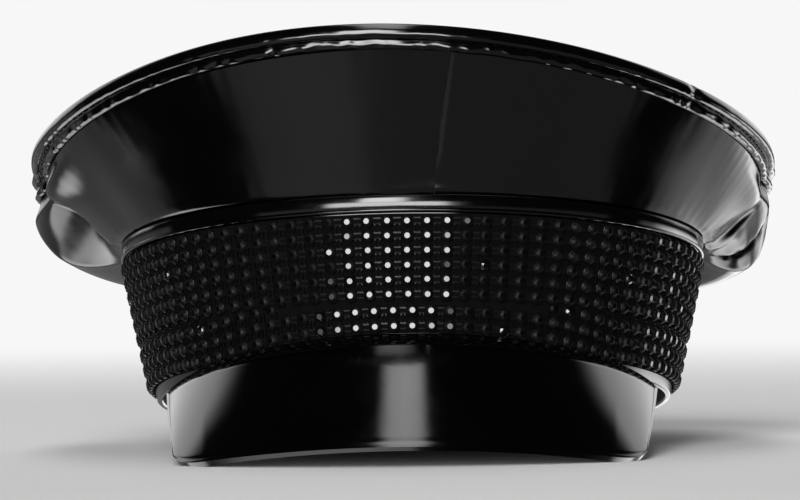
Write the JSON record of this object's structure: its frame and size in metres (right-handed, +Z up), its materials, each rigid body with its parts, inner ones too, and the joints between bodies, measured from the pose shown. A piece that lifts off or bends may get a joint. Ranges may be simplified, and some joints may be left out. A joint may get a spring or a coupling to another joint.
{
  "type": "peaked cap",
  "caption": "Peaked cap in black patent vinyl with a soft flared crown, a faceted stone band and a short sloping peak.",
  "frame": {"origin": "on the surface that the cap rests on, under the middle of its box", "axes": "+Z up, -Y towards the peak, +X towards the wearer's left"},
  "size_m": [0.2454, 0.2746, 0.1338],
  "materials": {
    "patent_vinyl": "wet-look patent vinyl, calendered and lacquered",
    "crown_vinyl": "soft patent vinyl on a cloth back, slightly rippled",
    "peak_vinyl": "stiff patent vinyl, mirror gloss",
    "stone_mesh": "moulded black faceted stones, high gloss"
  },
  "bodies": {
    "root": {"headband": "patent_vinyl", "band_piping": "patent_vinyl", "stone_mesh_upper": "stone_mesh", "stone_mesh_lower": "stone_mesh", "crown_front_left": "crown_vinyl", "crown_front_right": "crown_vinyl", "crown_back_left": "crown_vinyl", "crown_back_right": "crown_vinyl", "crown_edge_roll": "patent_vinyl", "crown_top": "crown_vinyl", "peak": "peak_vinyl"}
  },
  "joints": []
}
